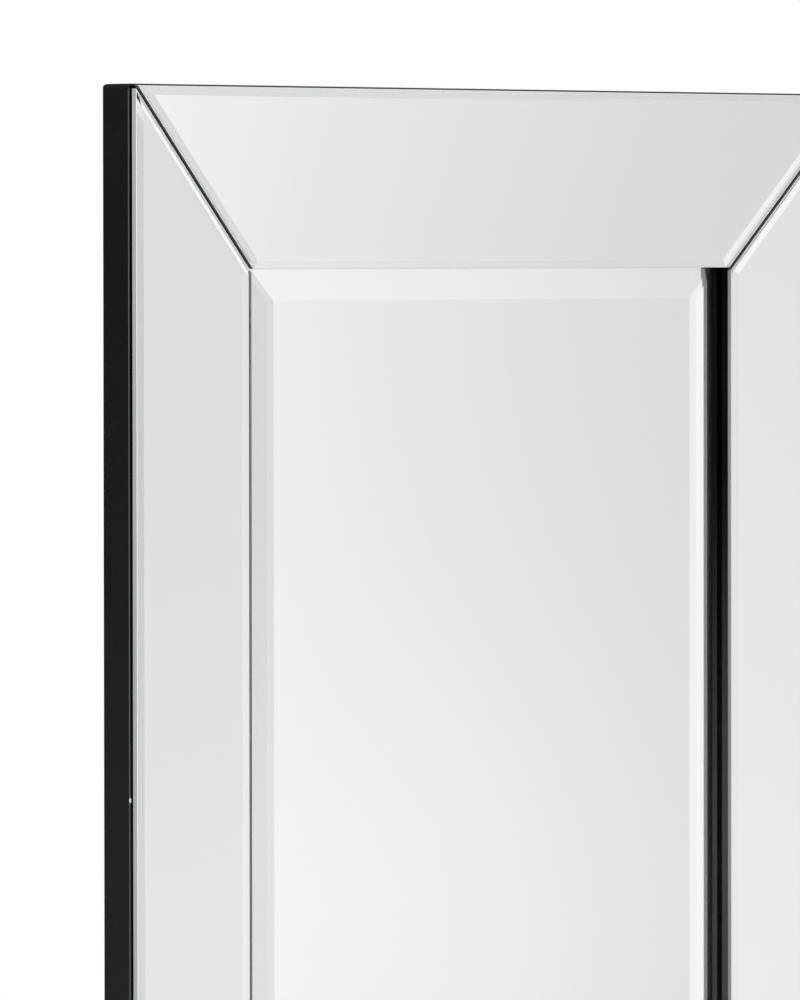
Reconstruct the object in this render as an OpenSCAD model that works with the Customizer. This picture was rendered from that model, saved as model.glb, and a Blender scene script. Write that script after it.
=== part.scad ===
// Rectangular wall mirror with a frame of bevelled mirror panels.
// X runs to the viewer's right, Y runs into the wall and Z runs up.
// The origin is the middle of the wall plane that the four bumpers touch.

/* [Overall size] */
// Width over the frame
overall_w = 610; // [560:1:700]
// Height over the frame
overall_h = 914; // [820:1:1000]

/* [Frame members] */
// Width of each frame member, seen from the front
member_w = 99; // [93:0.5:109]
// Thickness of a member at its outer side
side_d = 20.5; // [19.5:0.1:26]
// Thickness of a member at its inner side, which sets the slope of the face
inner_d = 11.3; // [10.5:0.1:14.5]
// Radius of the rounded arris at the back of the outer side
back_arris_r = 1.2; // [0.8:0.1:3]
// Radius of the rounded arris at the front of the outer side
front_arris_r = 0.8; // [0.4:0.1:1.2]
// Radius of the rounded arris at the front of the inner side
inner_arris_r = 0.8; // [0.4:0.1:1.2]
// Radius of the frame's four corners, seen from the front
corner_r = 4; // [1:0.1:5]
// Width of the rabbet that holds the centre mirror
rabbet_w = 19; // [18.5:0.5:23]

/* [Frame mirror panels] */
// Thickness of a panel's glass
panel_t = 4.2; // [4:0.1:5.2]
// Frame left bare outside the panels, measured to the front edge of the glass
panel_inset = 1.3; // [1.2:0.1:3]
// Overhang of the panels beyond the inner sides of the members
panel_overhang = 3; // [0:0.1:4]
// Width of the bevel around each panel
panel_bevel_w = 4.9; // [3:0.1:8]
// Depth of the bevel around each panel
panel_bevel_d = 1; // [0.8:0.05:1.5]
// Open joint between two panels, at the back of the glass
mitre_gap = 2.9; // [1.5:0.1:4]
// Thickness of the foam mounting tape under the panels
tape_t = 1.6; // [0.3:0.1:2]
// Width of a strip of mounting tape
tape_w = 12; // [8:1:20]
// Strips of mounting tape under each panel
tape_count = 3; // [2:1:4]
// Bare stretch at each end of a strip
tape_end = 9; // [5:1:20]

/* [Centre mirror] */
// Thickness of the centre mirror's glass
centre_t = 4.8; // [4:0.1:5.2]
// Width of the bevel around the centre mirror
centre_bevel_w = 38; // [30:1:44]
// Depth of the bevel around the centre mirror
centre_bevel_d = 1.8; // [1.2:0.1:2.4]
// Edge of the centre mirror that each stile covers, when the mirror sits in the middle
side_cover = 10.8; // [8:0.1:12]
// Edge of the centre mirror that the top and bottom rails cover
rail_cover = 17.1; // [13:0.1:18]
// Distance that the centre mirror sits to the right of the middle
centre_shift = 3.1; // [0:0.1:6]
// Thickness of the card between the centre mirror and the back board
card_t = 1.9; // [0.8:0.05:2.4]
// Length of a setting block under the centre mirror
block_len = 40; // [20:1:60]
// Place of the setting blocks, as their distance from the middle
block_x = 120; // [60:1:160]

/* [Corner biscuits] */
// Length of a corner biscuit, along the mitre
biscuit_len = 56; // [45:1:60]
// Width of a corner biscuit, across the mitre
biscuit_w = 23; // [18:1:24]
// Thickness of a corner biscuit
biscuit_t = 4; // [3:0.1:4.5]
// Distance of a biscuit's middle from both outer sides
biscuit_in = 40; // [36:1:42]
// Height of a biscuit's middle above the back of the frame
biscuit_h = 7.5; // [6:0.1:8]
// Clearance of a biscuit in its slot
biscuit_gap = 0.15; // [0.1:0.05:0.3]

/* [Back board] */
// Thickness of the back board
board_t = 3; // [2.4:0.1:3.2]
// Lap of the back board on the frame, beyond the rabbet
board_lap = 16; // [14:0.5:20]
// Radius of the back board's corners
board_corner_r = 6; // [2:1:12]
// Screws along the top and along the bottom of the back board
board_screws_x = 3; // [2:1:5]
// Screws along each side of the back board
board_screws_z = 4; // [3:1:6]

/* [Screws] */
// Radius of a screw's shank
screw_r = 1.5; // [1.2:0.1:1.8]
// Length of a screw under its head
screw_len = 12; // [9:0.5:12]
// Radius of a screw's pan head
head_r = 3.1; // [2.6:0.1:3.6]
// Height of a screw's pan head
head_h = 1.7; // [1.2:0.1:2]
// Clearance around a shank
screw_gap = 0.05; // [0.03:0.01:0.1]

/* [Hangers] */
// Distance of the hangers from the outer sides
hanger_in = 33; // [28:1:38]
// Distance of the hanger's ring axis below the top
hanger_down = 230; // [160:1:300]
// Thickness of the hanger's steel strap
strap_t = 1.2; // [1:0.1:1.4]
// Width of the strap
strap_w = 14; // [12:0.5:15]
// Length of the strap below the ring axis
strap_len = 47; // [42:1:60]
// Length of the strap's rolled eye, along the ring axis
eye_len = 12; // [8:0.5:13]
// Lift of the rolled eye above the back of the frame
eye_lift = 0.3; // [0.3:0.05:0.5]
// Distance of the first screw below the ring axis
strap_screw_z = 24; // [22:0.5:27]
// Distance between the two screws of a strap
strap_screw_step = 15; // [12:0.5:16]
// Radius of the ring's wire
wire_r = 1.3; // [1:0.05:1.5]
// Radial clearance of the wire in the rolled eye
wire_gap = 0.08; // [0.05:0.01:0.1]
// Width of the ring over the middle of its wire
ring_w = 21; // [19:0.5:24]
// Radius of the bend at each end of the ring's bar
ring_bend_r = 2.6; // [2:0.1:3.5]
// Straight stretch of the ring between its bend and its bow
ring_side = 2; // [1:0.1:3]

/* [Wall bumpers] */
// Thickness of a rubber bumper, which is the gap behind the frame
bumper_t = 6; // [6:0.1:8]
// Radius of a rubber bumper
bumper_r = 6.5; // [5:0.5:9]
// Edge of a bumper's face that is drawn in
bumper_draw = 1; // [0.5:0.1:1.5]
// Distance of a bumper's middle from both outer sides
bumper_in = 17; // [14:1:22]

/* [Hidden] */
$fn = 64;
over = 1;
cut_depth = 12;
frame_black = "#1d1d1d";
mirror_silver = "#dfe2e2";
steel = "#b9bcc0";

// Y of the back of the frame, and of the faces that follow from it
back_y = -bumper_t;
slope = atan2(side_d - inner_d, member_w);
opening_w = overall_w - 2 * member_w;
opening_h = overall_h - 2 * member_w;

// Centre mirror, lying on its backing card
centre_w = opening_w + 2 * side_cover;
centre_h = opening_h + 2 * rail_cover;
centre_back = card_t;
// Largest cover of the bevelled edge sets the height of the rabbet's ledge
widest_cover = max(side_cover + centre_shift, rail_cover);
ledge_gap = 0.1;
ledge_h = centre_back + centre_t - centre_bevel_d * (1 - widest_cover / centre_bevel_w) + ledge_gap;

// A panel's edges, measured down the slope from the frame's outer side
glass_top = tape_t + panel_t;
panel_outer_v = (panel_inset - glass_top * sin(slope)) / cos(slope);
panel_inner_v = (member_w + panel_overhang - (glass_top - panel_bevel_d) * sin(slope)) / cos(slope);
member_face_v = member_w / cos(slope);

board_w = opening_w + 2 * (rabbet_w + board_lap);
board_h = opening_h + 2 * (rabbet_w + board_lap);
board_screw_x = board_w / 2 - board_lap / 2;
board_screw_z = board_h / 2 - board_lap / 2;

hanger_x = overall_w / 2 - hanger_in;
hanger_z = overall_h / 2 - hanger_down;
eye_bore_r = wire_r + wire_gap;
eye_r = eye_bore_r + strap_t;
ring_axis_h = eye_r + eye_lift;
ring_bow_r = ring_w / 2;
bumper_x = overall_w / 2 - bumper_in;
bumper_z = overall_h / 2 - bumper_in;

// Frame

// Half the length of a member at distance v down its slope
function half_len(len, v) = len / 2 - v * cos(slope) - mitre_gap / sqrt(2);

// Section of a member: x is the depth, y is 0 at the outer side and falls inwards
module member_section() {
    front_x = -side_d + front_arris_r * (tan(slope) + 1 / cos(slope));
    inner_x = -inner_d + inner_arris_r * (1 - sin(slope)) / cos(slope);
    polygon([
        [0, -back_arris_r],
        [-back_arris_r, 0],
        [front_x, 0],
        [front_x - front_arris_r * cos(slope), -front_arris_r * (1 + sin(slope))],
        [inner_x - inner_arris_r * cos(slope), inner_arris_r * (1 - sin(slope)) - member_w],
        [inner_x, -member_w],
        [-ledge_h, -member_w],
        [-ledge_h, rabbet_w - member_w],
        [0, rabbet_w - member_w],
    ]);
    translate([-back_arris_r, -back_arris_r]) circle(back_arris_r);
    translate([front_x, -front_arris_r]) circle(front_arris_r);
    translate([inner_x, inner_arris_r - member_w]) circle(inner_arris_r);
}

// Flat biscuit with rounded sides, lying along X
module biscuit_shape(grow) {
    half_l = biscuit_len / 2 + grow;
    half_w = biscuit_w / 2 + grow;
    thick = biscuit_t + 2 * grow;
    round_r = (half_l * half_l + half_w * half_w) / (2 * half_w) + half_w / 2;
    round_y = round_r - half_w;
    intersection() {
        translate([0, -round_y, 0]) cylinder(h = thick, r = round_r, center = true, $fn = 128);
        translate([0, round_y, 0]) cylinder(h = thick, r = round_r, center = true, $fn = 128);
        cube([2 * half_l, 2 * half_w, thick], center = true);
    }
}

// Biscuit across the mitre of the corner at (sx, sz)
module corner_biscuit(sx, sz, grow = 0) {
    translate([sx * (overall_w / 2 - biscuit_in), back_y - biscuit_h, sz * (overall_h / 2 - biscuit_in)])
        rotate([90, sx * sz > 0 ? -45 : 45, 0]) biscuit_shape(grow);
}

// What the rounding takes off a corner at (half, 0)
module corner_waste(half) {
    difference() {
        translate([half - corner_r, -corner_r]) square(corner_r + over);
        translate([half - corner_r, -corner_r]) circle(corner_r);
    }
}

// Member along X with its outer side at z = 0 and its back at y = 0
module member(len) {
    intersection() {
        rotate([90, 0, 90]) linear_extrude(len, center = true) member_section();
        rotate([90, 0, 0]) linear_extrude(side_d + over) difference() {
            polygon([
                [-len / 2, 0], [member_w - len / 2, -member_w],
                [len / 2 - member_w, -member_w], [len / 2, 0],
            ]);
            corner_waste(len / 2);
            mirror([1, 0]) corner_waste(len / 2);
        }
    }
}

// Puts a child drawn for the top rail at one of the four sides
module at_side(side) {
    if (side == "top") translate([0, back_y, overall_h / 2]) children();
    if (side == "bottom") translate([0, back_y, -overall_h / 2]) rotate([0, 180, 0]) children();
    if (side == "left") translate([-overall_w / 2, back_y, 0]) rotate([0, -90, 0]) children();
    if (side == "right") translate([overall_w / 2, back_y, 0]) rotate([0, 90, 0]) children();
}

function side_len(side) = side == "top" || side == "bottom" ? overall_w : overall_h;

// Member of one side, with its biscuit slots and pilot holes
module frame_member(side) {
    color(frame_black) difference() {
        at_side(side) member(side_len(side));
        for (sx = [-1, 1], sz = [-1, 1]) corner_biscuit(sx, sz, biscuit_gap);
        for (p = board_screw_places()) pilot_hole(p, board_t);
        for (sx = [-1, 1], p = strap_screw_places(sx)) pilot_hole(p, strap_t);
    }
}

// Mirror plates

// Plate on z = 0 with a bevel along every edge of a counter-clockwise outline
module bevelled_plate(outline, plate_t, bevel_w, bevel_d) {
    count = len(outline);
    reach = bevel_w + 2 * over;
    difference() {
        linear_extrude(plate_t) polygon(outline);
        for (i = [0 : count - 1]) {
            start = outline[i];
            run = outline[(i + 1) % count] - start;
            translate([start[0], start[1], plate_t - bevel_d])
                rotate([0, 0, atan2(run[1], run[0])]) rotate([atan2(bevel_d, bevel_w), 0, 0])
                    translate([-bevel_w, -over, 0]) cube([norm(run) + 2 * bevel_w, reach, cut_depth]);
        }
    }
}

// Puts a child drawn on z = 0 on the sloped face of the top rail
module on_slope() {
    translate([0, -side_d, 0]) rotate([90 + slope, 0, 0]) children();
}

module mirror_panel(side) {
    outer = half_len(side_len(side), panel_outer_v);
    inner = half_len(side_len(side), panel_inner_v);
    color(mirror_silver) at_side(side) on_slope() translate([0, 0, tape_t])
        bevelled_plate([
            [-inner, -panel_inner_v], [inner, -panel_inner_v],
            [outer, -panel_outer_v], [-outer, -panel_outer_v],
        ], panel_t, panel_bevel_w, panel_bevel_d);
}

module panel_tape(side) {
    step = (member_face_v - panel_outer_v) / tape_count;
    color("#8d8f92") at_side(side) on_slope() for (i = [0 : tape_count - 1]) {
        v = panel_outer_v + (i + 0.5) * step;
        half = half_len(side_len(side), v + tape_w / 2) - tape_end;
        translate([-half, -v - tape_w / 2, 0]) cube([2 * half, tape_w, tape_t]);
    }
}

module centre_mirror() {
    color(mirror_silver) translate([centre_shift, back_y - centre_back, 0]) rotate([90, 0, 0])
        bevelled_plate([
            [-centre_w / 2, -centre_h / 2], [centre_w / 2, -centre_h / 2],
            [centre_w / 2, centre_h / 2], [-centre_w / 2, centre_h / 2],
        ], centre_t, centre_bevel_w, centre_bevel_d);
}

module backing_card() {
    color("#a98c66") translate([centre_shift, back_y - card_t / 2, 0])
        cube([centre_w, card_t, centre_h], center = true);
}

// Rubber block between the rabbet and the lower edge of the centre mirror
module setting_block(sx) {
    block_h = rabbet_w - rail_cover;
    block_d = centre_t - centre_bevel_d;
    color("#2b2b2d") translate([sx * block_x - block_len / 2, back_y - centre_back - block_d,
            -opening_h / 2 - rabbet_w])
        cube([block_len, block_d, block_h]);
}

// Back board and screws

// Screw places on the back board, each [x, z]
function board_screw_places() = concat(
    [for (sz = [-1, 1], i = [0 : board_screws_x - 1])
        [board_screw_x * (2 * (i + 0.5) / board_screws_x - 1), sz * board_screw_z]],
    [for (sx = [-1, 1], i = [0 : board_screws_z - 1])
        [sx * board_screw_x, board_screw_z * (2 * (i + 0.5) / board_screws_z - 1)]]);

function strap_screw_places(sx) =
    [for (i = [0, 1]) [sx * hanger_x, hanger_z - strap_screw_z - i * strap_screw_step]];

// Screw through a sheet of thickness sheet_t on the back of the frame
module pan_screw(place, sheet_t) {
    edge_r = 0.6;
    translate([place[0], back_y + sheet_t, place[1]]) rotate([-90, 0, 0]) {
        translate([0, 0, -screw_len]) cylinder(h = screw_len + edge_r, r = screw_r);
        rotate_extrude() {
            square([head_r, head_h - edge_r]);
            square([head_r - edge_r, head_h]);
            translate([head_r - edge_r, head_h - edge_r]) circle(edge_r);
        }
    }
}

module pilot_hole(place, sheet_t) {
    hole_len = screw_len - sheet_t + screw_gap;
    translate([place[0], back_y + over, place[1]]) rotate([90, 0, 0])
        cylinder(h = hole_len + over, r = screw_r + screw_gap);
}

module sheet_hole(place) {
    translate([place[0], back_y - over, place[1]]) rotate([-90, 0, 0])
        cylinder(h = board_t + 2 * over, r = screw_r + screw_gap);
}

module back_board() {
    color("#6d4a30") difference() {
        translate([0, back_y + board_t, 0]) rotate([90, 0, 0]) linear_extrude(board_t) {
            square([board_w - 2 * board_corner_r, board_h], center = true);
            square([board_w, board_h - 2 * board_corner_r], center = true);
            for (sx = [-1, 1], sz = [-1, 1])
                translate([sx * (board_w / 2 - board_corner_r), sz * (board_h / 2 - board_corner_r)])
                    circle(board_corner_r);
        }
        for (p = board_screw_places()) sheet_hole(p);
    }
}

module back_board_screws() {
    color(steel) for (p = board_screw_places()) pan_screw(p, board_t);
}

// Hangers

// Steel strap with a rolled eye around the ring's bar
module hanger_strap(sx) {
    round_z = strap_w / 2 - strap_len;
    color(steel) translate([sx * hanger_x, back_y, hanger_z]) difference() {
        union() {
            translate([-strap_w / 2, 0, round_z]) cube([strap_w, strap_t, -round_z - eye_r]);
            translate([0, 0, round_z]) rotate([-90, 0, 0]) cylinder(h = strap_t, r = strap_w / 2);
            translate([-eye_len / 2, 0, -2 * eye_r]) cube([eye_len, strap_t, 2 * eye_r]);
            translate([0, ring_axis_h, 0]) rotate([0, 90, 0])
                cylinder(h = eye_len, r = eye_r, center = true);
        }
        translate([0, ring_axis_h, 0]) rotate([0, 90, 0])
            cylinder(h = eye_len + 2 * over, r = eye_bore_r, center = true);
        for (i = [0, 1]) translate([0, -over, -strap_screw_z - i * strap_screw_step]) rotate([-90, 0, 0])
            cylinder(h = strap_t + 2 * over, r = screw_r + screw_gap);
    }
}

// D-shaped wire ring that hangs from the rolled eye
module hanger_ring(sx) {
    bar_half = ring_w / 2 - ring_bend_r;
    bow_z = -ring_bend_r - ring_side;
    color(steel) translate([sx * hanger_x, back_y + ring_axis_h, hanger_z]) {
        rotate([0, 90, 0]) cylinder(h = 2 * bar_half, r = wire_r, center = true);
        for (s = [-1, 1]) {
            translate([s * ring_w / 2, 0, bow_z]) cylinder(h = ring_side, r = wire_r);
            translate([s * bar_half, 0, -ring_bend_r]) rotate([90, 0, 0]) rotate([0, 0, s > 0 ? 0 : 90])
                rotate_extrude(angle = 90) translate([ring_bend_r, 0]) circle(wire_r, $fn = 32);
        }
        translate([0, 0, bow_z]) rotate([90, 0, 0]) rotate([0, 0, 180])
            rotate_extrude(angle = 180) translate([ring_bow_r, 0]) circle(wire_r, $fn = 32);
    }
}

module hanger_screws(sx) {
    color(steel) for (p = strap_screw_places(sx)) pan_screw(p, strap_t);
}

// Rubber disc that stands the frame off the wall
module wall_bumper(sx, sz) {
    color("#3a3a3c") translate([sx * bumper_x, back_y, sz * bumper_z]) rotate([-90, 0, 0]) rotate_extrude() {
        square([bumper_r, bumper_t - bumper_draw]);
        square([bumper_r - bumper_draw, bumper_t]);
        translate([bumper_r - bumper_draw, bumper_t - bumper_draw]) circle(bumper_draw);
    }
}

frame_member("top");  // frame_top_rail
frame_member("bottom");  // frame_bottom_rail
frame_member("left");  // frame_left_stile
frame_member("right");  // frame_right_stile
color("#c9a877") corner_biscuit(-1, 1);  // corner_biscuit_top_left
color("#c9a877") corner_biscuit(1, 1);  // corner_biscuit_top_right
color("#c9a877") corner_biscuit(-1, -1);  // corner_biscuit_bottom_left
color("#c9a877") corner_biscuit(1, -1);  // corner_biscuit_bottom_right
mirror_panel("top");  // mirror_panel_top
mirror_panel("bottom");  // mirror_panel_bottom
mirror_panel("left");  // mirror_panel_left
mirror_panel("right");  // mirror_panel_right
panel_tape("top");  // panel_tape_top
panel_tape("bottom");  // panel_tape_bottom
panel_tape("left");  // panel_tape_left
panel_tape("right");  // panel_tape_right
centre_mirror();
backing_card();
setting_block(-1);  // setting_block_left
setting_block(1);  // setting_block_right
back_board();
back_board_screws();
hanger_strap(-1);  // hanger_strap_left
hanger_strap(1);  // hanger_strap_right
hanger_ring(-1);  // hanger_ring_left
hanger_ring(1);  // hanger_ring_right
hanger_screws(-1);  // hanger_screws_left
hanger_screws(1);  // hanger_screws_right
wall_bumper(-1, 1);  // wall_bumper_top_left
wall_bumper(1, 1);  // wall_bumper_top_right
wall_bumper(-1, -1);  // wall_bumper_bottom_left
wall_bumper(1, -1);  // wall_bumper_bottom_right
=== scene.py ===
"""Looks of the rectangular wall mirror: silvered plates on a black frame, its back and its hangers.

X runs to the viewer's right, Y into the wall and Z up, in metres.
The origin is the middle of the wall plane.
"""

import math

import bmesh
import bpy
from mathutils import Matrix, Vector


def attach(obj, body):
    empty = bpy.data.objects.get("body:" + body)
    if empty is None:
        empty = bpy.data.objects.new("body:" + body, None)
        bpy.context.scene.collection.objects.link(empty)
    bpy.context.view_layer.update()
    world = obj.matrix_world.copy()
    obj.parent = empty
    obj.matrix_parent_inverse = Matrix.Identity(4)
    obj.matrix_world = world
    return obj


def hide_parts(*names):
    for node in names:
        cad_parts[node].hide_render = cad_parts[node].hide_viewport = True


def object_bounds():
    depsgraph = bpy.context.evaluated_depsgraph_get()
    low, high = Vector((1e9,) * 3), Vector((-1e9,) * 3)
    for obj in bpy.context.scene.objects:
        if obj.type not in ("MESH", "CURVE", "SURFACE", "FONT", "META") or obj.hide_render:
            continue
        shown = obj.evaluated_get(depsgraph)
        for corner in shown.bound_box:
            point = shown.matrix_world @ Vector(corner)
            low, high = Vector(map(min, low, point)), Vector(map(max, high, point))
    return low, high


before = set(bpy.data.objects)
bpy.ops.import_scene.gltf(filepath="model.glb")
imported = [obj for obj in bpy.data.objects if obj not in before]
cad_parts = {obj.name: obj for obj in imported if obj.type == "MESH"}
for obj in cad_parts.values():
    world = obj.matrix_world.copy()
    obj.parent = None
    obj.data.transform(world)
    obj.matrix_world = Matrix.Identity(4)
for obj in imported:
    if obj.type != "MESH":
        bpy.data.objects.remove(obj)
cad_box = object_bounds()

MM = 0.001
BODY = "frame"

# Camera, placed by the edges of the mirror in the photograph
CAMERA_AT = Vector((-4238.1, -3880.8, 369.9)) * MM
CAMERA_YAW = 47.123
CAMERA_PITCH = 1.469
CAMERA_ROLL = -0.0608
CAMERA_LENS = 361.84

# Mirror plates
SILVER_GAP = 0.05 * MM
COAT_GAP = 0.01 * MM
EDGE_COAT = 0.03 * MM
FRONT_ARRIS = 0.2 * MM
BACK_ARRIS = 0.2 * MM
# A face whose normal leans less than this out of the plate is an edge, and one whose normal
# leans more than this from both X and Z is a mitred end
EDGE_FACING = 0.3
# Materials of a plate, by index: the mitred ends are polished within, and dark outside as painted
# shade of the narrow gap between the plates
GLASS, ARRIS, SILVER, BACKING, EDGE, DARK_EDGE = range(6)

# Painted highlight: tone of the paint on the rounded arrises
ARRIS_HIGHLIGHT = 0.09
# Faint painted light from below on the paint, from none at the upper height to all of it at the
# lower one
PAINT_LIGHT_TOP_Z = 0.35
PAINT_LIGHT_LOW_Z = -0.1
PAINT_LIGHT_FROM_BELOW = 0.16
# More painted light low down on the walls of the opening, within this distance from the middle
WALL_LIGHT_TOP_Z = 0.25
WALL_LIGHT_LOW_Z = 0.0
WALL_PAINTED_LIGHT = 0.09
OPENING_X = 206.5 * MM
# Chip in the paint on the front left arris: where, half width, raggedness and stretch along Z
CHIP_AT = (-304.4 * MM, -26.5 * MM, 64 * MM)
CHIP_R = 0.8 * MM
CHIP_RAGGED = 0.5 * MM
CHIP_SQUEEZE = (1.0, 1.0, 0.6)

FLOOR_R = 4.0
FLOOR_SIDES = 96
LAMP_AT = Vector((-2.4, -2.6, 2.2))
LAMP_SIZE = 2.0
LAMP_POWER = 40.0

# Studio around the mirror: brightness against heading in degrees, from straight ahead to the right
STUDIO_STOPS = [(0, 0.86), (22.4, 0.95), (31.4, 1.15), (38.9, 0.86), (41.9, 0.94), (44.9, 1.03),
                (46.6, 0.915), (48.7, 0.78), (51.9, 0.735), (56.4, 0.8), (61.4, 0.78), (73.4, 0.64),
                (90, 0.75)]
STUDIO_PEAK = 1.2
STUDIO_PLAIN = 0.85
# Pale band low in front of the mirror, by its elevation in degrees
BAND_ELEVATION = -4.1
BAND_HALF_WIDTH = 1.9
BAND_LIFT = 0.3
# Soft patches in the studio: heading, elevation, half widths of both, and what they add
PATCHES = [(47.2, -3.6, 1.2, 1.6, 0.05), (49.5, -4.7, 0.8, 1.5, -0.05), (39.4, -13, 4, 5, 0.2),
           (35.1, 3.6, 4, 3.5, -0.2), (68.7, -1.9, 4, 4, -0.05), (72.5, 8, 4, 5, 0.7)]

# Share of each finer octave in every noise
NOISE_ROUGHNESS = 0.55

PLATES = ["mirror_panel_top", "mirror_panel_bottom", "mirror_panel_left", "mirror_panel_right",
          "centre_mirror"]


class Graph:
    """Builds a node tree: each call adds a node, sets its values and links its inputs."""

    def __init__(self, tree):
        self.tree = tree

    def add(self, kind, inputs=None, **settings):
        node = self.tree.nodes.new(kind)
        for key, value in settings.items():
            setattr(node, key, value)
        for key, value in (inputs or {}).items():
            self.set(node.inputs[key], value)
        return node

    def set(self, socket, value):
        if isinstance(value, bpy.types.NodeSocket):
            self.tree.links.new(value, socket)
        else:
            socket.default_value = value

    def math(self, operation, a, b=0.0, clamp=False):
        node = self.add("ShaderNodeMath", {0: a, 1: b}, operation=operation, use_clamp=clamp)
        return node.outputs[0]

    def vector(self, operation, a, b=(0.0, 0.0, 0.0)):
        return self.add("ShaderNodeVectorMath", {0: a, 1: b}, operation=operation).outputs

    def noise(self, vector, scale, detail=3.0, distortion=0.0):
        inputs = {"Vector": vector, "Scale": scale, "Detail": detail, "Roughness": NOISE_ROUGHNESS,
                  "Distortion": distortion}
        return self.add("ShaderNodeTexNoise", inputs).outputs["Fac"]

    def ramp(self, value, low, high, to_low=0.0, to_high=1.0, smooth=False):
        inputs = {"Value": value, "From Min": low, "From Max": high,
                  "To Min": to_low, "To Max": to_high}
        kind = "SMOOTHSTEP" if smooth else "LINEAR"
        return self.add("ShaderNodeMapRange", inputs, interpolation_type=kind).outputs["Result"]

    def hump(self, value, middle, half_width):
        """Bell curve that is 1 at the middle."""
        off = self.math("DIVIDE", self.math("SUBTRACT", value, middle), half_width)
        return self.math("EXPONENT", self.math("MULTIPLY", self.math("MULTIPLY", off, off), -1.0))

    def blend(self, factor, first, second):
        """Mix of two colours, which the node takes at inputs 6 and 7 and gives at output 2."""
        node = self.add("ShaderNodeMix", data_type="RGBA")
        self.set(node.inputs["Factor"], factor)
        self.set(node.inputs[6], first)
        self.set(node.inputs[7], second)
        return node.outputs[2]

    def bump(self, height, distance, strength):
        inputs = {"Height": height, "Distance": distance, "Strength": strength}
        return self.add("ShaderNodeBump", inputs).outputs["Normal"]


def grey(value):
    return (value, value, value, 1.0)


def rgb(red, green, blue):
    return (red, green, blue, 1.0)


def new_material(name, **values):
    """A Principled material, its graph, its shader and its object coordinates."""
    material = bpy.data.materials.new(name)
    material.use_nodes = True
    graph = Graph(material.node_tree)
    shader = material.node_tree.nodes["Principled BSDF"]
    for key, value in values.items():
        shader.inputs[key.replace("_", " ")].default_value = value
    place = graph.add("ShaderNodeTexCoord").outputs["Object"]
    return material, graph, shader, place


def black_paint():
    material, graph, shader, place = new_material(
        "black_paint", Roughness=0.55, Specular_IOR_Level=0.07)
    grain = graph.noise(place, 900.0, detail=2.0)
    cloud = graph.noise(place, 9.0, detail=3.0)
    tone = graph.math("ADD", graph.math("MULTIPLY", grain, 0.6), graph.math("MULTIPLY", cloud, 0.4))
    paint = graph.blend(graph.ramp(tone, 0.35, 0.65), grey(0.0025), grey(0.0065))
    height = graph.add("ShaderNodeSeparateXYZ", {0: place}).outputs["Z"]
    # Painted light from below: the paint grows paler towards the bottom
    low = graph.ramp(height, PAINT_LIGHT_TOP_Z, PAINT_LIGHT_LOW_Z, smooth=True)
    normal = graph.add("ShaderNodeNewGeometry").outputs["True Normal"]
    depth = graph.math("ABSOLUTE", graph.add("ShaderNodeSeparateXYZ", {0: normal}).outputs["Y"])
    aside = graph.math("ABSOLUTE", graph.add("ShaderNodeSeparateXYZ", {0: place}).outputs["X"])
    paint = graph.blend(graph.math("MULTIPLY", low, PAINT_LIGHT_FROM_BELOW), paint, grey(0.05))
    # A face that looks forward or back is ruled out by its depth
    within = graph.math("LESS_THAN", graph.math("ADD", aside, depth), OPENING_X)
    # Painted light: the walls of the opening grow paler towards the bottom
    lower = graph.ramp(height, WALL_LIGHT_TOP_Z, WALL_LIGHT_LOW_Z, smooth=True)
    paint = graph.blend(graph.math("MULTIPLY", within, lower), paint, grey(WALL_PAINTED_LIGHT))
    # Painted highlight on the rounded arrises, where the faces turn between the side and the front
    level = graph.math("SUBTRACT", 1.0, graph.math("MULTIPLY", depth, depth))
    across = graph.math("SQRT", level, clamp=True)
    arris = graph.ramp(graph.math("MULTIPLY", depth, across), 0.2, 0.4)
    paint = graph.blend(arris, paint, grey(ARRIS_HIGHLIGHT))
    off_chip = graph.vector("SUBTRACT", place, CHIP_AT)["Vector"]
    squeezed = graph.vector("MULTIPLY", off_chip, CHIP_SQUEEZE)["Vector"]
    away = graph.vector("LENGTH", squeezed)["Value"]
    ragged = graph.math("MULTIPLY", graph.noise(place, 1200.0), CHIP_RAGGED)
    chip = graph.math("LESS_THAN", graph.math("ADD", away, ragged), CHIP_R + CHIP_RAGGED / 2)
    graph.set(shader.inputs["Base Color"], graph.blend(chip, paint, grey(0.75)))
    graph.set(shader.inputs["Normal"], graph.bump(grain, 0.05 * MM, 0.5))
    return material


def polished_glass():
    material, graph, shader, place = new_material(
        "mirror_glass", Roughness=0.0, IOR=1.5, Transmission_Weight=1.0,
        Base_Color=rgb(0.985, 0.99, 0.988))
    wave = graph.noise(place, 5.0, detail=1.0)
    graph.set(shader.inputs["Normal"], graph.bump(wave, 0.01 * MM, 0.3))
    return material


def ground_glass(name, dark, pale):
    """Ground edge of a plate, between two tones."""
    material, graph, shader, place = new_material(name, Specular_IOR_Level=0.3)
    grit = graph.noise(place, 2500.0, detail=2.0)
    graph.set(shader.inputs["Base Color"], graph.blend(grit, rgb(*dark), rgb(*pale)))
    graph.set(shader.inputs["Roughness"], graph.ramp(grit, 0.3, 0.7, 0.35, 0.55))
    graph.set(shader.inputs["Normal"], graph.bump(grit, 0.02 * MM, 0.4))
    return material


def drawn_arris():
    """The narrow arrises: pale, as they gather light from within the glass."""
    material, graph, shader, place = new_material(
        "mirror_glass_arris", Roughness=0.5, Specular_IOR_Level=0.3)
    grit = graph.noise(place, 2500.0, detail=2.0)
    pale = graph.blend(grit, rgb(0.88, 0.9, 0.895), rgb(0.95, 0.965, 0.96))
    graph.set(shader.inputs["Base Color"], pale)
    graph.set(shader.inputs["Normal"], graph.bump(grit, 0.02 * MM, 0.3))
    return material


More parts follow.
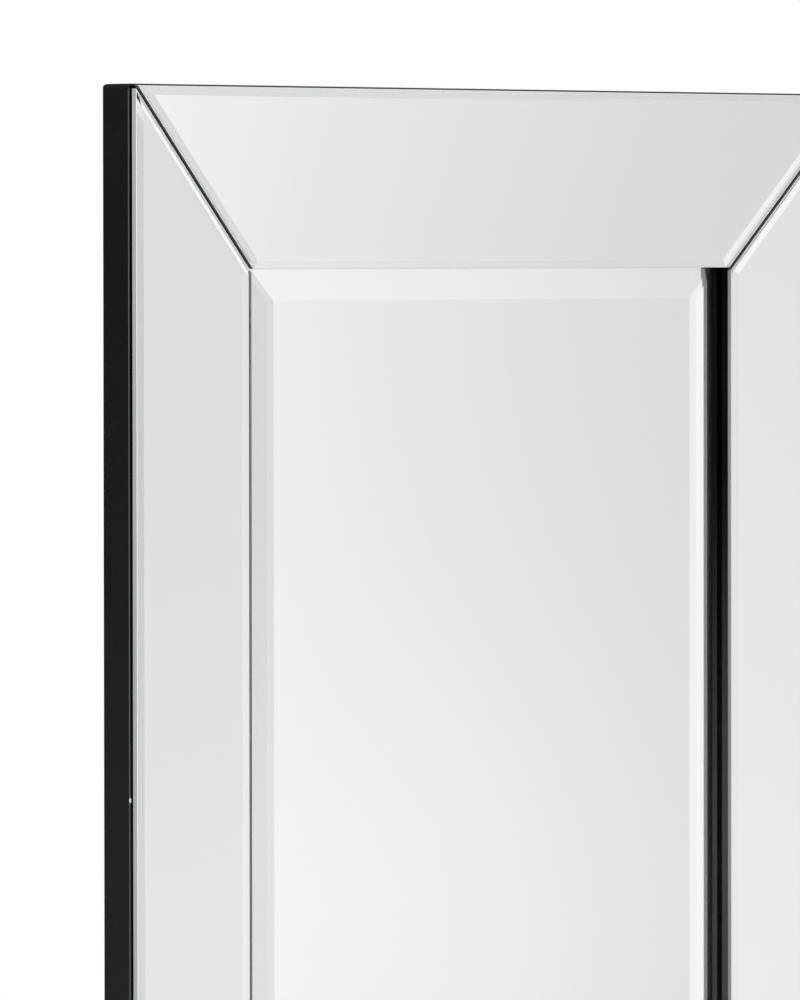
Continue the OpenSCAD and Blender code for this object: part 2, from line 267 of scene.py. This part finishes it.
def backing_paint():
    material, graph, shader, place = new_material(
        "mirror_backing", Roughness=0.6, Specular_IOR_Level=0.3)
    along = graph.add("ShaderNodeMapping", {"Vector": place, "Scale": (0.1, 1.0, 1.0)}).outputs[0]
    brushed = graph.noise(along, 900.0, detail=3.0)
    dull = graph.blend(brushed, rgb(0.17, 0.175, 0.18), rgb(0.22, 0.225, 0.23))
    graph.set(shader.inputs["Base Color"], dull)
    graph.set(shader.inputs["Normal"], graph.bump(brushed, 0.02 * MM, 0.4))
    return material


def silvering():
    material, graph, shader, place = new_material("mirror_silvering", Metallic=1.0, Roughness=0.0)
    cloud = graph.noise(place, 3.0, detail=2.0)
    graph.set(shader.inputs["Base Color"], graph.blend(cloud, grey(0.915), grey(0.925)))
    return material


def hardboard():
    material, graph, shader, place = new_material("hardboard", Specular_IOR_Level=0.25)
    fibre = graph.noise(place, 700.0, detail=4.0, distortion=1.5)
    cloud = graph.noise(place, 14.0, detail=4.0)
    fleck = graph.ramp(fibre, 0.3, 0.7)
    brown = graph.blend(fleck, rgb(0.115, 0.058, 0.028), rgb(0.235, 0.135, 0.07))
    patchy = graph.ramp(cloud, 0.3, 0.8, 0.0, 0.35)
    graph.set(shader.inputs["Base Color"], graph.blend(patchy, brown, rgb(0.2, 0.105, 0.05)))
    graph.set(shader.inputs["Roughness"], graph.ramp(fibre, 0.2, 0.8, 0.62, 0.8))
    graph.set(shader.inputs["Normal"], graph.bump(fibre, 0.1 * MM, 0.6))
    return material


def zinc_steel():
    material, graph, shader, place = new_material("zinc_steel", Metallic=1.0)
    streak = graph.add("ShaderNodeMapping", {"Vector": place, "Scale": (1.0, 1.0, 0.08)}).outputs[0]
    brushed = graph.noise(streak, 2600.0, detail=3.0)
    cloud = graph.noise(place, 160.0, detail=3.0)
    zinc = graph.blend(cloud, rgb(0.56, 0.57, 0.58), rgb(0.66, 0.67, 0.68))
    graph.set(shader.inputs["Base Color"], zinc)
    graph.set(shader.inputs["Roughness"], graph.ramp(brushed, 0.25, 0.75, 0.26, 0.4))
    graph.set(shader.inputs["Normal"], graph.bump(brushed, 0.01 * MM, 0.4))
    return material


def rubber():
    material, graph, shader, place = new_material("black_rubber", Specular_IOR_Level=0.3)
    grain = graph.noise(place, 1800.0, detail=2.0)
    graph.set(shader.inputs["Base Color"], graph.blend(grain, grey(0.022), grey(0.04)))
    graph.set(shader.inputs["Roughness"], graph.ramp(grain, 0.3, 0.7, 0.7, 0.85))
    graph.set(shader.inputs["Normal"], graph.bump(grain, 0.04 * MM, 0.5))
    return material


def tape():
    material, graph, shader, place = new_material(
        "mounting_tape", Roughness=0.8, Specular_IOR_Level=0.2)
    foam = graph.noise(place, 1500.0, detail=3.0)
    graph.set(shader.inputs["Base Color"], graph.blend(foam, grey(0.2), grey(0.3)))
    graph.set(shader.inputs["Normal"], graph.bump(foam, 0.05 * MM, 0.6))
    return material


def card():
    material, graph, shader, place = new_material(
        "backing_card", Roughness=0.85, Specular_IOR_Level=0.2)
    pulp = graph.noise(place, 500.0, detail=4.0)
    buff = graph.blend(pulp, rgb(0.36, 0.25, 0.14), rgb(0.48, 0.35, 0.21))
    graph.set(shader.inputs["Base Color"], buff)
    graph.set(shader.inputs["Normal"], graph.bump(pulp, 0.05 * MM, 0.4))
    return material


def biscuit_wood():
    material, graph, shader, place = new_material(
        "biscuit_wood", Roughness=0.7, Specular_IOR_Level=0.25)
    along = graph.add("ShaderNodeMapping", {"Vector": place, "Scale": (1.0, 1.0, 0.12)}).outputs[0]
    grain = graph.noise(along, 600.0, detail=4.0, distortion=0.8)
    beech = graph.blend(grain, rgb(0.5, 0.34, 0.18), rgb(0.66, 0.48, 0.29))
    graph.set(shader.inputs["Base Color"], beech)
    graph.set(shader.inputs["Normal"], graph.bump(grain, 0.05 * MM, 0.5))
    return material


def finish_nodes(material, *prefixes):
    """Puts a material on every CAD node whose name starts with one of the prefixes."""
    for name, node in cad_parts.items():
        if name.startswith(prefixes):
            for slot in node.material_slots:
                slot.material = material


def new_piece(name, bm, materials, replaced):
    """Turns a bmesh into a piece on the frame body that stands for a CAD node."""
    mesh = bpy.data.meshes.new(name)
    bm.to_mesh(mesh)
    bm.free()
    for material in materials:
        mesh.materials.append(material)
    piece = bpy.data.objects.new(name, mesh)
    bpy.context.scene.collection.objects.link(piece)
    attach(piece, BODY)
    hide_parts(replaced)


def largest_face(bm, direction):
    """The largest face that looks roughly along a direction."""
    return max((f for f in bm.faces if f.normal.dot(direction) > 0.9), key=lambda f: f.calc_area())


def add_coat(bm, face, depth, index):
    """Thin coat of paint on a face of the glass, as a closed solid just clear of it."""
    outward = face.normal.copy()
    copied = bmesh.ops.duplicate(bm, geom=[face])["geom"]
    near = next(item for item in copied if isinstance(item, bmesh.types.BMFace))
    bmesh.ops.translate(bm, verts=near.verts, vec=COAT_GAP * outward)
    grown = bmesh.ops.extrude_face_region(bm, geom=[near], use_keep_orig=True)["geom"]
    outer = [item for item in grown if isinstance(item, bmesh.types.BMVert)]
    bmesh.ops.translate(bm, verts=outer, vec=(depth - COAT_GAP) * outward)
    near.normal_flip()
    coat = {near}.union(*(vert.link_faces for vert in outer))
    bmesh.ops.recalc_face_normals(bm, faces=list(coat))
    for part in coat:
        part.material_index = index
    bm.normal_update()


def silvered_plate(node, materials):
    """Bevelled glass plate with darkened edges, drawn-down arrises and a silvered back."""
    bm = bmesh.new()
    bm.from_mesh(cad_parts[node].data)
    bmesh.ops.remove_doubles(bm, verts=bm.verts, dist=0.01 * MM)
    bmesh.ops.dissolve_limit(bm, angle_limit=math.radians(0.5), verts=bm.verts, edges=bm.edges)
    bm.normal_update()
    back = largest_face(bm, Vector((0, 1, 0)))
    inward = back.normal.copy()
    bmesh.ops.translate(bm, verts=back.verts, vec=-SILVER_GAP * inward)
    bm.normal_update()

    def is_edge(face):
        return abs(face.normal.dot(inward)) < EDGE_FACING

    def is_mitred(face):
        return min(abs(face.normal.x), abs(face.normal.z)) > EDGE_FACING

    for face in bm.faces:
        face.material_index = DARK_EDGE if is_edge(face) and not is_mitred(face) else GLASS
    back.material_index = SILVER
    for offset, faces_back in ((FRONT_ARRIS, False), (BACK_ARRIS, True)):
        rim = [e for e in bm.edges
               if sorted(map(is_edge, e.link_faces)) == [False, True]
               and any(not is_edge(f) and (f.normal.dot(inward) > 0) == faces_back
                       for f in e.link_faces)]
        bmesh.ops.bevel(bm, geom=rim, offset=offset, segments=1, affect="EDGES", material=ARRIS)
        bm.normal_update()
    edges = [face for face in bm.faces if is_edge(face) and face.material_index != ARRIS]
    add_coat(bm, largest_face(bm, Vector((0, 1, 0))), SILVER_GAP - COAT_GAP, BACKING)
    for face in edges:
        # The dark coat on the mitred ends is painted shade of the gap between the plates
        add_coat(bm, face, EDGE_COAT, DARK_EDGE if is_mitred(face) else EDGE)
    new_piece(node + "_glass", bm, materials, node)


def build_plates():
    materials = [polished_glass(), drawn_arris(), silvering(), backing_paint(),
                 ground_glass("mirror_glass_edge", (0.34, 0.355, 0.35), (0.42, 0.435, 0.43)),
                 ground_glass("mirror_glass_edge_dark", (0.14, 0.15, 0.145), (0.2, 0.21, 0.205))]
    for node in PLATES:
        silvered_plate(node, materials)


def finish_cad_nodes():
    finish_nodes(black_paint(), "frame_")
    finish_nodes(hardboard(), "back_board")
    finish_nodes(zinc_steel(), "hanger_", "back_board_screws")
    finish_nodes(rubber(), "wall_bumper_", "setting_block_")
    finish_nodes(tape(), "panel_tape_")
    finish_nodes(card(), "backing_card")
    finish_nodes(biscuit_wood(), "corner_biscuit_")


def build_floor(height):
    material, graph, shader, place = new_material("floor", Roughness=0.9, Specular_IOR_Level=0.0)
    speck = graph.noise(place, 40.0, detail=2.0)
    graph.set(shader.inputs["Base Color"], graph.blend(speck, grey(0.86), grey(0.88)))
    bm = bmesh.new()
    bmesh.ops.create_circle(bm, cap_ends=True, segments=FLOOR_SIDES, radius=FLOOR_R)
    mesh = bpy.data.meshes.new("floor")
    bm.to_mesh(mesh)
    bm.free()
    mesh.materials.append(material)
    floor = bpy.data.objects.new("floor", mesh)
    floor.location.z = height
    bpy.context.scene.collection.objects.link(floor)


def studio_level(graph):
    """Brightness of the studio that the mirror shows, by the direction in which it lies."""
    direction = graph.add("ShaderNodeTexCoord").outputs["Generated"]
    ray = graph.add("ShaderNodeSeparateXYZ", {0: direction}).outputs
    ahead = graph.math("MULTIPLY", ray["Y"], -1.0)
    heading = graph.math("DEGREES", graph.math("ARCTAN2", ray["X"], ahead))
    elevation = graph.math("DEGREES", graph.math("ARCSINE", ray["Z"]))
    stops = graph.add("ShaderNodeValToRGB", {"Fac": graph.math("DIVIDE", heading, 90.0)})
    ramp = stops.color_ramp
    ramp.interpolation = "CARDINAL"
    while len(ramp.elements) < len(STUDIO_STOPS):
        ramp.elements.new(0.5)
    for element, (angle, level) in zip(ramp.elements, STUDIO_STOPS):
        element.position = angle / 90
        element.color = grey(level / STUDIO_PEAK)
    around = graph.math("MULTIPLY", stops.outputs["Color"], STUDIO_PEAK)
    room = graph.math("MAXIMUM", graph.math("SUBTRACT", 1.0, around), 0.0)
    band = graph.math("MULTIPLY", graph.hump(elevation, BAND_ELEVATION, BAND_HALF_WIDTH), BAND_LIFT)
    level = graph.math("ADD", around, graph.math("MULTIPLY", room, band))
    for patch_heading, patch_elevation, half_heading, half_elevation, lift in PATCHES:
        patch = graph.math("MULTIPLY", graph.hump(heading, patch_heading, half_heading),
                           graph.hump(elevation, patch_elevation, half_elevation))
        level = graph.math("ADD", level, graph.math("MULTIPLY", patch, lift))
    return level


def build_world():
    world = bpy.data.worlds.new("studio")
    bpy.context.scene.world = world
    world.use_nodes = True
    tree = world.node_tree
    graph = Graph(tree)
    path = graph.add("ShaderNodeLightPath").outputs
    seen_in_mirror = graph.math("MAXIMUM", path["Is Glossy Ray"], path["Is Transmission Ray"])
    level = graph.blend(seen_in_mirror, grey(STUDIO_PLAIN), studio_level(graph))
    level = graph.blend(path["Is Camera Ray"], level, grey(1.0))
    graph.set(tree.nodes["Background"].inputs["Color"], level)


def build_lamp():
    """Soft lamp that looks at the middle of the mirror and isn't seen in it."""
    data = bpy.data.lights.new("key_lamp", "AREA")
    data.shape = "SQUARE"
    data.size = LAMP_SIZE
    data.energy = LAMP_POWER
    lamp = bpy.data.objects.new("key_lamp", data)
    lamp.location = LAMP_AT
    lamp.rotation_euler = (-LAMP_AT).to_track_quat("-Z", "Y").to_euler()
    lamp.visible_glossy = False
    lamp.visible_transmission = False
    bpy.context.scene.collection.objects.link(lamp)


def build_camera():
    yaw, pitch, roll = (math.radians(a) for a in (CAMERA_YAW, CAMERA_PITCH, CAMERA_ROLL))
    ahead = Vector((math.sin(yaw) * math.cos(pitch), math.cos(yaw) * math.cos(pitch),
                    -math.sin(pitch)))
    level = Vector((math.cos(yaw), -math.sin(yaw), 0.0))
    above = level.cross(ahead)
    right = math.cos(roll) * level + math.sin(roll) * above
    up = -math.sin(roll) * level + math.cos(roll) * above
    data = bpy.data.cameras.new("camera")
    data.sensor_width = 36.0
    data.lens = CAMERA_LENS
    data.clip_end = 100.0
    camera = bpy.data.objects.new("camera", data)
    turn = Matrix((right, up, -ahead)).transposed().to_4x4()
    camera.matrix_world = Matrix.Translation(CAMERA_AT) @ turn
    bpy.context.scene.collection.objects.link(camera)
    bpy.context.scene.camera = camera


build_camera()
build_world()
build_lamp()
build_floor(cad_box[0].z)
finish_cad_nodes()
build_plates()

bpy.context.scene.view_settings.view_transform = "Standard"
